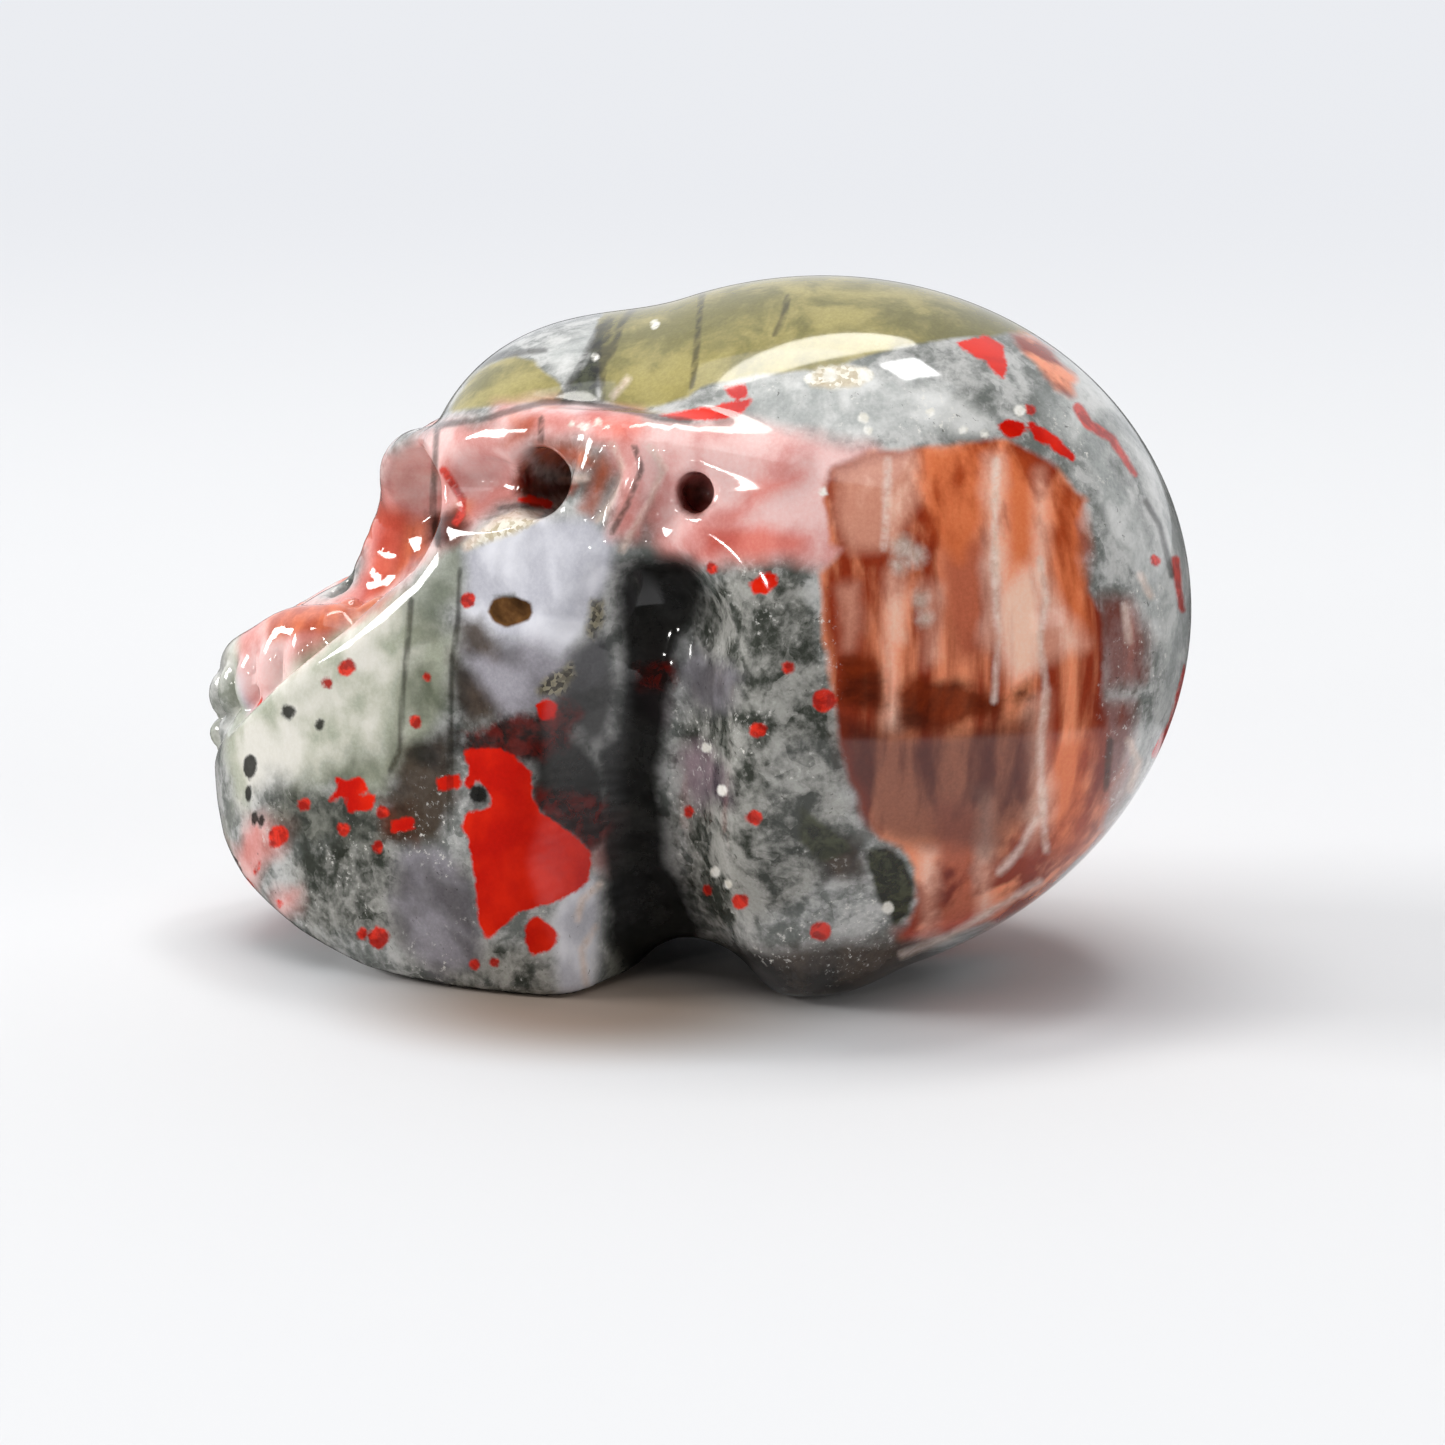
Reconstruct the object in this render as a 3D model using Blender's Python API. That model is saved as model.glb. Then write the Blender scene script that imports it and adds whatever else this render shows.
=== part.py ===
"""A carved and polished bloodstone skull, 52 mm long: one piece of stone.

It rests on the lower edge of its jaw and on two bosses under the back of the head.

The face looks along -Y, the skull's left is +X, and the floor is Z = 0. Lengths are in millimetres until the mesh is made.
"""

import math

import bmesh
import bpy
import numpy as np
import openvdb

# Driving dimensions of the stone.
LENGTH = 51.8
WIDTH = 33.2
HEIGHT = 35.2

# Grid of the carving, and what the finished solid keeps of it.
GRID_STEP = 0.42
GRID_MARGIN = 1.5
SOLID_TRIANGLES = 9000
FLOOR_SNAP = 0.06
# The carving is drawn this far in front of where it stands, so that the origin is under the middle of its length.
BACK_SHIFT = 0.13
MM = 0.001

STONE_COLOUR = (0.20, 0.22, 0.20, 1.0)
STONE_ROUGHNESS = 0.12

# Cranium: an egg whose raised back end is the back of the stone.
CRANIUM_RADII = (WIDTH / 2, 20.5, 18.0)
CRANIUM = (0.0, LENGTH / 2 - 20.35, HEIGHT - 18.2)
CRANIUM_TILT = math.radians(19.0)


def ball(p, centre, radii):
    """Distance to an ellipsoid, close to exact near its surface."""
    q = (p - np.array(centre)) / np.array(radii)
    reach = np.linalg.norm(q, axis=-1)
    slope = np.linalg.norm(q / np.array(radii), axis=-1)
    return reach * (reach - 1.0) / np.maximum(slope, 1e-6)


def curve_through(stations, per_span=4):
    """Points of a smooth curve through the stations, each a place and a radius."""
    knots = np.array(stations, float)
    knots = np.vstack([2 * knots[0] - knots[1], knots, 2 * knots[-1] - knots[-2]])
    points = []
    for before, start, end, after in zip(knots, knots[1:], knots[2:], knots[3:]):
        for t in np.arange(per_span) / per_span:
            points.append(
                0.5
                * (
                    2 * start
                    + (end - before) * t
                    + (2 * before - 5 * start + 4 * end - after) * t**2
                    + (3 * start - before - 3 * end + after) * t**3
                )
            )
    return np.vstack([points, knots[-2]])


def tilted(p, centre, angle):
    """The points as seen from a shape whose rear end is turned up about its centre."""
    q = p - np.array(centre)
    along = q[..., 1] * math.cos(angle) + q[..., 2] * math.sin(angle)
    across = q[..., 2] * math.cos(angle) - q[..., 1] * math.sin(angle)
    return np.stack([q[..., 0], along, across], axis=-1)


def bar(p, stations, per_span=4):
    """Distance to a round bar along a smooth curve, each station (x, y, z, radius)."""
    along = curve_through(stations, per_span)
    nearest = np.full(p.shape[:-1], 1e9)
    for start, end in zip(along, along[1:]):
        span = end[:3] - start[:3]
        t = np.clip(((p - start[:3]) @ span) / (span @ span), 0.0, 1.0)
        off = np.linalg.norm(p - start[:3] - t[..., None] * span, axis=-1)
        nearest = np.minimum(nearest, off - start[3] - t * (end[3] - start[3]))
    return nearest


def outline(a, b, corners):
    """Distance in a plane to a closed outline, negative inside."""
    corners = np.array(corners, float)
    nearest = np.full(a.shape, 1e9)
    inside = np.zeros(a.shape, bool)
    for (a0, b0), (a1, b1) in zip(corners, np.roll(corners, -1, axis=0)):
        da, db = a1 - a0, b1 - b0
        t = np.clip(((a - a0) * da + (b - b0) * db) / (da * da + db * db), 0.0, 1.0)
        nearest = np.minimum(nearest, np.hypot(a - a0 - t * da, b - b0 - t * db))
        crosses = (b0 > b) != (b1 > b)
        with np.errstate(divide="ignore", invalid="ignore"):
            inside ^= crosses & (a < a0 + (b - b0) * da / db)
    return np.where(inside, -nearest, nearest)


def join(a, b, fillet):
    """Both shapes, with a fillet of about that radius where they meet."""
    near = np.maximum(fillet - np.abs(a - b), 0.0) / fillet
    return np.minimum(a, b) - near * near * fillet / 4.0


def both(a, b, fillet):
    """What lies in both shapes, its edge rounded."""
    return -join(-a, -b, fillet)


def carve(a, b, fillet):
    """The first shape less the second, the rim rounded."""
    return -join(-a, b, fillet)


def cranium(p):
    """The dome of the head with its forehead and the two bosses it rests on behind the jaw."""
    head = ball(tilted(p, CRANIUM, CRANIUM_TILT), (0.0, 0.0, 0.0), CRANIUM_RADII)
    forehead = ball(p, (0.0, -5.2, 24.3), (12.5, 8.3, 8.4))
    boss = ball(p, (6.8, 8.1, 4.3), (4.8, 3.9, 4.5))
    head = join(head, forehead, 2.5)
    return join(head, boss, 3.0)


def brow(p):
    """The band over the eyes, from between them back to the temple."""
    return bar(
        p,
        [
            (0.0, -13.4, 24.2, 2.4),
            (3.2, -13.2, 24.9, 2.4),
            (6.8, -10.8, 26.2, 1.8),
            (9.6, -6.8, 27.9, 1.5),
            (11.2, -2.2, 28.2, 1.6),
            (11.8, 2.6, 27.6, 2.2),
            (11.6, 7.8, 26.8, 2.4),
        ],
    )


def nose_bridge(p):
    """The column from between the brows down to the upper jaw."""
    return bar(p, [(0.0, -13.0, 23.4, 3.1), (0.0, -13.5, 21.4, 3.5), (0.0, -14.6, 17.0, 4.2)])


# Tooth row: an ellipse in plan, measured from the middle of the mouth.
ARCH_CENTRE = -14.4
ARCH_WIDE = 8.3
ARCH_DEEP = 11.4
TOOTH_PITCH = 2.0
TEETH_A_SIDE = 6
TOOTH_RADII = (0.98, 1.15)


def arch(length, inset=0.0):
    """Plan position that far round the tooth row, moved in from the lips."""
    turn = 0.0
    walked = 0.0
    while walked < length:
        turn += 0.01
        walked += 0.01 * math.hypot(ARCH_WIDE * math.cos(turn), ARCH_DEEP * math.sin(turn))
    return (ARCH_WIDE - inset) * math.sin(turn), ARCH_CENTRE - (ARCH_DEEP - inset) * math.cos(turn)


def gum_rise(length):
    """How far the tooth row has risen by that distance from the middle of the mouth."""
    return 3.0 * min(length / 10.0, 1.0) ** 1.5


def muzzle(p):
    """The upper jaw that carries the teeth."""
    upper = ball(p, (0.0, -13.3, 11.8), (8.0, 10.9, 7.8))
    places = [(arch(s, 2.0), gum_rise(s)) for s in (0.0, 3.0, 6.0, 9.0, 12.0)]
    gum = bar(p, [(x, y, 13.7 + rise, 1.75) for (x, y), rise in places])
    return join(upper, gum, 1.2)


def teeth(p):
    """Two rows of teeth, one round crown each, the upper ones with the ridge of a root."""
    row = np.full(p.shape[:-1], 1e9)
    for number in range(TEETH_A_SIDE):
        along = (number + 0.5) * TOOTH_PITCH
        x, y = arch(along, 0.75)
        rise = gum_rise(along)
        upper = ball(p, (x, y, 12.2 + rise), (*TOOTH_RADII, 1.25 + 0.3 * rise))
        lower = ball(p, (x, y, 10.1 + rise), (*TOOTH_RADII, 0.95))
        root = bar(p, [(0.96 * x, y + 0.3, 13.0 + rise, 0.8), (0.8 * x, y + 3.6, 16.4 + 0.6 * rise, 0.7)])
        row = np.minimum(np.minimum(row, root), np.minimum(upper, lower))
    return row


# Side view of the cheek and lower jaw, (y, z), from the jaw corner round the chin to the temple.
JAW_SIDE = [
    (1.6, 1.0),
    (-0.8, -0.9),
    (-4.0, -1.3),
    (-9.0, -0.8),
    (-14.5, 0.1),
    (-18.8, 1.3),
    (-23.0, 3.0),
    (-25.4, 4.6),
    (-26.2, 7.0),
    (-26.1, 9.8),
    (-22.9, 12.8),
    (-19.4, 15.6),
    (-15.0, 18.4),
    (-11.6, 21.2),
    (-9.6, 23.8),
    (-4.8, 25.0),
    (-1.8, 26.6),
    (2.6, 27.4),
    (2.8, 18.0),
    (2.6, 8.0),
]


# Plan of the jaw: 2 would be an ellipse, more is squarer.
JAW_ROUND = 2.2


def jaw(p):
    """Cheek and lower jaw, one plate on each side, meeting in the chin."""
    side = outline(p[..., 1], p[..., 2], JAW_SIDE)
    low = np.clip(10.0 - p[..., 2], 0.0, None)
    high = np.clip(p[..., 2] - 14.0, 0.0, None)
    wide = 13.1 - 0.012 * low**2 - 0.012 * high**2
    deep = 21.9 - 0.02 * low**2
    plan = (np.abs(p[..., 0]) / wide) ** JAW_ROUND + (np.abs(p[..., 1] + 3.75) / deep) ** JAW_ROUND
    return both(side, (plan ** (1 / JAW_ROUND) - 1.0) * 12.0, 1.8)


def eye_rim(p):
    """The fluted outer rim of the eye socket, from the brow down to the cheek."""
    front = bar(p, [(12.6, -0.9, 28.2, 0.9), (12.9, -1.4, 26.6, 1.0), (12.3, -2.0, 24.4, 0.8)])
    rear = bar(p, [(12.6, 0.6, 28.4, 0.9), (13.2, 1.2, 27.2, 0.9), (13.4, 0.5, 25.2, 0.9), (13.2, -0.1, 23.2, 0.6)])
    return join(front, rear, 0.4)


def stone(p):
    """Distance to the carved surface, negative inside the stone."""
    p = p.copy()
    p[..., 0] = np.abs(p[..., 0])
    body = cranium(p)
    body = join(body, brow(p), 0.7)
    body = join(body, nose_bridge(p), 1.6)
    body = join(body, jaw(p), 1.2)

    side_groove = bar(
        p,
        [
            (16.6, 2.2, 19.6, 3.6),
            (16.0, 1.2, 15.0, 4.3),
            (14.8, 0.6, 10.0, 4.2),
            (12.2, 0.8, 4.2, 3.6),
            (8.0, 1.7, -0.8, 3.1),
            (0.0, 1.7, -1.4, 3.2),
        ],
        per_span=10,
    )
    groove_top = ball(p, (14.6, 2.2, 20.0), (3.2, 2.7, 2.8))
    temple = ball(p, (17.4, 1.2, 25.8), (4.4, 3.4, 3.2))
    body = carve(body, side_groove, 3.4)
    body = carve(body, groove_top, 2.0)
    body = carve(body, temple, 1.0)

    body = join(body, eye_rim(p), 0.6)
    valley = bar(p, [(7.6, -11.6, 21.4, 1.0), (8.6, -15.6, 18.2, 1.0), (8.0, -19.8, 15.4, 0.9), (6.4, -23.0, 13.0, 0.8)])
    body = carve(body, valley, 1.2)
    body = join(body, muzzle(p), 0.7)
    body = join(body, teeth(p), 0.25)

    socket = ball(p, (14.0, -8.0, 25.9), (4.6, 3.6, 1.9))
    socket_front = ball(p, (7.0, -12.6, 23.6), (3.3, 3.4, 3.2))
    socket_eye = bar(p, [(6.8, -13.0, 23.8, 2.6), (6.4, -7.8, 24.4, 1.8)])
    socket_depth = bar(p, [(15.0, -5.2, 26.6, 1.9), (7.0, -3.2, 25.6, 1.5)])
    body = carve(body, socket, 0.8)
    body = carve(body, socket_front, 1.2)
    body = carve(body, socket_eye, 0.8)
    body = carve(body, socket_depth, 0.5)

    nostril = bar(p, [(0.9, -19.2, 20.4, 0.5), (1.5, -18.4, 18.4, 0.9), (1.3, -15.4, 18.0, 0.7)])
    body = carve(body, nostril, 0.3)

    temple_pit = bar(p, [(16.0, 4.1, 26.7, 1.05), (11.5, 3.8, 26.0, 0.95)])
    body = carve(body, temple_pit, 0.35)

    under_jaw = ball(p, (0.0, -9.0, -0.6), (5.6, 8.0, 3.4))
    body = carve(body, under_jaw, 1.5)
    return both(body, -p[..., 2], 0.6)


def grid_points():
    low = np.array([-WIDTH / 2, -LENGTH / 2, 0.0]) - GRID_MARGIN
    high = np.array([WIDTH / 2, LENGTH / 2, HEIGHT]) + GRID_MARGIN
    axes = [np.arange(a, b + GRID_STEP, GRID_STEP) for a, b in zip(low, high)]
    return low, np.stack(np.meshgrid(*axes, indexing="ij"), axis=-1)


def stone_material():
    material = bpy.data.materials.new("bloodstone")
    material.use_nodes = True
    shader = material.node_tree.nodes["Principled BSDF"]
    shader.inputs["Base Color"].default_value = STONE_COLOUR
    shader.inputs["Roughness"].default_value = STONE_ROUGHNESS
    return material


def carved_mesh(name):
    """The carved surface as an even mesh of triangles, in millimetres."""
    low, points = grid_points()
    grid = openvdb.FloatGrid(4.0 * GRID_STEP)
    grid.copyFromArray(stone(points).astype(np.float32))
    corners, quads = grid.convertToQuads(0.0)
    corners = low + corners.astype(float) * GRID_STEP
    mesh = bpy.data.meshes.new(name)
    mesh.from_pydata(corners.tolist(), [], quads.tolist())
    work = bmesh.new()
    work.from_mesh(mesh)
    bmesh.ops.triangulate(work, faces=work.faces[:])
    work.to_mesh(mesh)
    work.free()
    return mesh


def thin_out(obj):
    """Fewer triangles, most of them where the surface bends."""
    thin = obj.modifiers.new("fewer triangles", "DECIMATE")
    thin.ratio = SOLID_TRIANGLES / len(obj.data.polygons)
    bpy.context.view_layer.update()
    seen = obj.evaluated_get(bpy.context.evaluated_depsgraph_get())
    mesh = bpy.data.meshes.new_from_object(seen)
    obj.modifiers.clear()
    obj.data = mesh


def finish(obj):
    """Make the resting faces truly flat, centre the stone and turn millimetres into metres."""
    for vertex in obj.data.vertices:
        if vertex.co.z < FLOOR_SNAP:
            vertex.co.z = 0.0
        vertex.co.y += BACK_SHIFT
        vertex.co *= MM
    obj.data.update()
    obj.data.materials.append(stone_material())


def main():
    for obj in list(bpy.data.objects):
        bpy.data.objects.remove(obj)
    collection = bpy.data.collections.new("bloodstone_skull")
    bpy.context.scene.collection.children.link(collection)
    skull = bpy.data.objects.new("skull", carved_mesh("skull"))
    collection.objects.link(skull)
    thin_out(skull)
    finish(skull)


main()
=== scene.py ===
"""A carved and polished bloodstone skull: its fine surface, its stone, the studio and the camera."""

import math

import bpy
import numpy as np
import openvdb
from mathutils import Matrix, Vector


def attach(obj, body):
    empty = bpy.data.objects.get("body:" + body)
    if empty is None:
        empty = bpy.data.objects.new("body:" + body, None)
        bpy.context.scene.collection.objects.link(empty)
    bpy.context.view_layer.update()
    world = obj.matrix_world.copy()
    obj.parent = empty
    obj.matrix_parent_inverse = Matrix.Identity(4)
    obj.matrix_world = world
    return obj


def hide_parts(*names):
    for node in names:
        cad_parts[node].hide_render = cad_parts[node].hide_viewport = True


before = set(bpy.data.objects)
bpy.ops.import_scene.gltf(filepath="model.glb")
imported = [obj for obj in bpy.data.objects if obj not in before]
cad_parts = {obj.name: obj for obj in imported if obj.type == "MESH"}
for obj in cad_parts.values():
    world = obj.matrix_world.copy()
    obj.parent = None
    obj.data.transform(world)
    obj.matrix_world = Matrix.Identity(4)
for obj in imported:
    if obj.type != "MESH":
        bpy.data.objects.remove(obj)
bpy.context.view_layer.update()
MM = 0.001

# Camera: how the photograph, 1445 pixels square, sees the skull. Lengths are in millimetres, clips in metres.
PHOTO = 1445
AZIMUTH = math.radians(105.0)
ELEVATION = math.radians(12.0)
LENS = 120.0
SENSOR = 36.0
CLIP_START = 0.01
CLIP_END = 20.0
PIXELS_PER_MM = 19.5
ANCHOR = np.array([0.0, 5.35, 17.0])
ANCHOR_PIXEL = (792.0, 632.0)
BACK = np.array(
    [math.sin(AZIMUTH) * math.cos(ELEVATION), -math.cos(AZIMUTH) * math.cos(ELEVATION), math.sin(ELEVATION)]
)
RIGHT = np.array([math.cos(AZIMUTH), math.sin(AZIMUTH), 0.0])
UP = np.cross(BACK, RIGHT)
DISTANCE = PHOTO / PIXELS_PER_MM * LENS / SENSOR
TARGET = ANCHOR + (RIGHT * (PHOTO / 2 - ANCHOR_PIXEL[0]) + UP * (ANCHOR_PIXEL[1] - PHOTO / 2)) / PIXELS_PER_MM
EYE = TARGET + BACK * DISTANCE

# The stone, in millimetres, as the solid has it. The shapes are moved back by BACK_SHIFT to centre the box.
LENGTH = 51.8
WIDTH = 33.2
HEIGHT = 35.2
BACK_SHIFT = 0.13
CRANIUM_RADII = (WIDTH / 2, 20.5, 18.0)
CRANIUM = (0.0, LENGTH / 2 - 20.35, HEIGHT - 18.2)
CRANIUM_TILT = math.radians(19.0)
# More than any distance in the drawing, in millimetres or in pixels.
FAR_AWAY = 1e9


def ball(p, centre, radii):
    """Distance to an ellipsoid, close to exact near its surface."""
    q = (p - np.array(centre, np.float32)) / np.array(radii, np.float32)
    reach = np.linalg.norm(q, axis=-1)
    slope = np.linalg.norm(q / np.array(radii, np.float32), axis=-1)
    return reach * (reach - 1.0) / np.maximum(slope, 1e-6)


def curve_through(stations, per_span):
    """Points of a smooth curve through the stations, each a place and a radius."""
    knots = np.array(stations, float)
    knots = np.vstack([2 * knots[0] - knots[1], knots, 2 * knots[-1] - knots[-2]])
    points = []
    for before, start, end, after in zip(knots, knots[1:], knots[2:], knots[3:]):
        for t in np.arange(per_span) / per_span:
            bend = 2 * before - 5 * start + 4 * end - after
            twist = 3 * start - before - 3 * end + after
            points.append(0.5 * (2 * start + (end - before) * t + bend * t**2 + twist * t**3))
    return np.vstack([points, knots[-2]]).astype(np.float32)


def tilted(p, centre, angle):
    """The points as seen from a shape whose rear end is turned up about its centre."""
    q = p - np.array(centre, np.float32)
    along = q[..., 1] * math.cos(angle) + q[..., 2] * math.sin(angle)
    across = q[..., 2] * math.cos(angle) - q[..., 1] * math.sin(angle)
    return np.stack([q[..., 0], along, across], axis=-1)


def bar(p, stations, per_span=4):
    """Distance to a round bar along a smooth curve, each station (x, y, z, radius)."""
    along = curve_through(stations, per_span)
    nearest = np.full(p.shape[:-1], FAR_AWAY, np.float32)
    for start, end in zip(along, along[1:]):
        span = end[:3] - start[:3]
        t = np.clip(((p - start[:3]) @ span) / (span @ span), 0.0, 1.0)
        off = np.linalg.norm(p - start[:3] - t[..., None] * span, axis=-1)
        nearest = np.minimum(nearest, off - start[3] - t * (end[3] - start[3]))
    return nearest


def line(a, b, points):
    """Distance in a plane to a line through the points."""
    nearest = np.full(a.shape, FAR_AWAY)
    for (a0, b0), (a1, b1) in zip(points, points[1:]):
        da, db = a1 - a0, b1 - b0
        t = np.clip(((a - a0) * da + (b - b0) * db) / (da * da + db * db), 0.0, 1.0)
        nearest = np.minimum(nearest, np.hypot(a - a0 - t * da, b - b0 - t * db))
    return nearest


def outline(a, b, corners):
    """Distance in a plane to a closed outline, negative inside."""
    corners = np.array(corners, float)
    corners = np.vstack([corners, corners[:1]])
    inside = np.zeros(a.shape, bool)
    for (a0, b0), (a1, b1) in zip(corners, corners[1:]):
        crosses = (b0 > b) != (b1 > b)
        with np.errstate(divide="ignore", invalid="ignore"):
            inside ^= crosses & (a < a0 + (b - b0) * (a1 - a0) / (b1 - b0))
    distance = line(a, b, corners)
    return np.where(inside, -distance, distance)


def join(a, b, fillet):
    """Both shapes, with a fillet of about that radius where they meet."""
    near = np.maximum(fillet - np.abs(a - b), 0.0) / fillet
    return np.minimum(a, b) - near * near * fillet / 4.0


def both(a, b, fillet):
    """What lies in both shapes, its edge rounded."""
    return -join(-a, -b, fillet)


def carve(a, b, fillet):
    """The first shape less the second, the rim rounded."""
    return -join(-a, b, fillet)


def cranium(p):
    """The dome of the head with its forehead and the two bosses it rests on behind the jaw."""
    head = ball(tilted(p, CRANIUM, CRANIUM_TILT), (0.0, 0.0, 0.0), CRANIUM_RADII)
    forehead = ball(p, (0.0, -5.2, 24.3), (12.5, 8.3, 8.4))
    boss = ball(p, (6.8, 8.1, 4.3), (4.8, 3.9, 4.5))
    head = join(head, forehead, 2.5)
    return join(head, boss, 3.0)


def brow(p):
    """The band over the eyes, from between them back to the temple."""
    inner = [(0.0, -13.4, 24.2, 2.4), (3.2, -13.2, 24.9, 2.4), (6.8, -10.8, 26.2, 1.8)]
    outer = [(9.6, -6.8, 27.9, 1.5), (11.2, -2.2, 28.2, 1.6), (11.8, 2.6, 27.6, 2.2), (11.6, 7.8, 26.8, 2.4)]
    return bar(p, inner + outer)


def nose_bridge(p):
    """The column from between the brows down to the upper jaw."""
    return bar(p, [(0.0, -13.0, 23.4, 3.1), (0.0, -13.5, 21.4, 3.5), (0.0, -14.6, 17.0, 4.2)])


# Tooth row: an ellipse in plan, measured from the middle of the mouth.
ARCH_CENTRE = -14.4
ARCH_WIDE = 8.3
ARCH_DEEP = 11.4
TOOTH_PITCH = 2.0
TEETH_A_SIDE = 6
TOOTH_RADII = (0.98, 1.15)
ARCH_TURN = 0.01


def arch(length, inset=0.0):
    """Plan position that far round the tooth row, moved in from the lips."""
    turn = 0.0
    walked = 0.0
    while walked < length:
        turn += ARCH_TURN
        walked += ARCH_TURN * math.hypot(ARCH_WIDE * math.cos(turn), ARCH_DEEP * math.sin(turn))
    return (ARCH_WIDE - inset) * math.sin(turn), ARCH_CENTRE - (ARCH_DEEP - inset) * math.cos(turn)


def gum_rise(length):
    """How far the tooth row has risen by that distance from the middle of the mouth."""
    return 3.0 * min(length / 10.0, 1.0) ** 1.5


def muzzle(p):
    """The upper jaw that carries the teeth."""
    upper = ball(p, (0.0, -13.3, 11.8), (8.0, 10.9, 7.8))
    places = [(arch(s, 2.0), gum_rise(s)) for s in (0.0, 3.0, 6.0, 9.0, 12.0)]
    gum = bar(p, [(x, y, 13.7 + rise, 1.75) for (x, y), rise in places])
    return join(upper, gum, 1.2)


def teeth(p):
    """Two rows of teeth, one round crown each, the upper ones with the ridge of a root."""
    row = np.full(p.shape[:-1], FAR_AWAY, np.float32)
    for number in range(TEETH_A_SIDE):
        along = (number + 0.5) * TOOTH_PITCH
        x, y = arch(along, 0.75)
        rise = gum_rise(along)
        upper = ball(p, (x, y, 12.2 + rise), (*TOOTH_RADII, 1.25 + 0.3 * rise))
        lower = ball(p, (x, y, 10.1 + rise), (*TOOTH_RADII, 0.95))
        root = bar(p, [(0.96 * x, y + 0.3, 13.0 + rise, 0.8), (0.8 * x, y + 3.6, 16.4 + 0.6 * rise, 0.7)])
        row = np.minimum(np.minimum(row, root), np.minimum(upper, lower))
    return row


# Side view of the cheek and lower jaw, (y, z), from the jaw corner round the chin to the temple.
JAW_SIDE = [
    (1.6, 1.0), (-0.8, -0.9), (-4.0, -1.3), (-9.0, -0.8), (-14.5, 0.1), (-18.8, 1.3), (-23.0, 3.0),
    (-25.4, 4.6), (-26.2, 7.0), (-26.1, 9.8), (-22.9, 12.8), (-19.4, 15.6), (-15.0, 18.4), (-11.6, 21.2),
    (-9.6, 23.8), (-4.8, 25.0), (-1.8, 26.6), (2.6, 27.4), (2.8, 18.0), (2.6, 8.0),
]
# Plan of the jaw: 2 would be an ellipse, more is squarer.
JAW_ROUND = 2.2


def jaw(p):
    """Cheek and lower jaw, one plate on each side, meeting in the chin."""
    side = outline(p[..., 1], p[..., 2], JAW_SIDE)
    low = np.clip(10.0 - p[..., 2], 0.0, None)
    high = np.clip(p[..., 2] - 14.0, 0.0, None)
    wide = 13.1 - 0.012 * low**2 - 0.012 * high**2
    deep = 21.9 - 0.02 * low**2
    plan = (np.abs(p[..., 0]) / wide) ** JAW_ROUND + (np.abs(p[..., 1] + 3.75) / deep) ** JAW_ROUND
    return both(side, (plan ** (1 / JAW_ROUND) - 1.0) * 12.0, 1.8)


def eye_rim(p):
    """The fluted outer rim of the eye socket, from the brow down to the cheek."""
    front = bar(p, [(12.6, -0.9, 28.2, 0.9), (12.9, -1.4, 26.6, 1.0), (12.3, -2.0, 24.4, 0.8)])
    rear_top = [(12.6, 0.6, 28.4, 0.9), (13.2, 1.2, 27.2, 0.9)]
    rear = bar(p, [*rear_top, (13.4, 0.5, 25.2, 0.9), (13.2, -0.1, 23.2, 0.6)])
    return join(front, rear, 0.4)


def stone(p):
    """Distance to the carved surface, negative inside the stone."""
    p = p.copy()
    p[..., 0] = np.abs(p[..., 0])
    body = cranium(p)
    body = join(body, brow(p), 0.7)
    body = join(body, nose_bridge(p), 1.6)
    body = join(body, jaw(p), 1.2)

    groove_side = [(16.6, 2.2, 19.6, 3.6), (16.0, 1.2, 15.0, 4.3), (14.8, 0.6, 10.0, 4.2)]
    groove_under = [(12.2, 0.8, 4.2, 3.6), (8.0, 1.7, -0.8, 3.1), (0.0, 1.7, -1.4, 3.2)]
    side_groove = bar(p, groove_side + groove_under, per_span=10)
    groove_top = ball(p, (14.6, 2.2, 20.0), (3.2, 2.7, 2.8))
    temple = ball(p, (17.4, 1.2, 25.8), (4.4, 3.4, 3.2))
    for hollow, fillet in ((side_groove, 3.4), (groove_top, 2.0), (temple, 1.0)):
        body = carve(body, hollow, fillet)

    body = join(body, eye_rim(p), 0.6)
    valley_top = [(7.6, -11.6, 21.4, 1.0), (8.6, -15.6, 18.2, 1.0)]
    valley = bar(p, [*valley_top, (8.0, -19.8, 15.4, 0.9), (6.4, -23.0, 13.0, 0.8)])
    body = carve(body, valley, 1.2)
    body = join(body, muzzle(p), 0.7)
    body = join(body, teeth(p), 0.25)

    socket = ball(p, (14.0, -8.0, 25.9), (4.6, 3.6, 1.9))
    socket_front = ball(p, (7.0, -12.6, 23.6), (3.3, 3.4, 3.2))
    socket_eye = bar(p, [(6.8, -13.0, 23.8, 2.6), (6.4, -7.8, 24.4, 1.8)])
    socket_depth = bar(p, [(15.0, -5.2, 26.6, 1.9), (7.0, -3.2, 25.6, 1.5)])
    for hollow, fillet in ((socket, 0.8), (socket_front, 1.2), (socket_eye, 0.8), (socket_depth, 0.5)):
        body = carve(body, hollow, fillet)

    nostril = bar(p, [(0.9, -19.2, 20.4, 0.5), (1.5, -18.4, 18.4, 0.9), (1.3, -15.4, 18.0, 0.7)])
    temple_pit = bar(p, [(16.0, 4.1, 26.7, 1.05), (11.5, 3.8, 26.0, 0.95)])
    under_jaw = ball(p, (0.0, -9.0, -0.6), (5.6, 8.0, 3.4))
    for hollow, fillet in ((nostril, 0.3), (temple_pit, 0.35), (under_jaw, 1.5)):
        body = carve(body, hollow, fillet)
    return both(body, -p[..., 2], 0.6)


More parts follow.
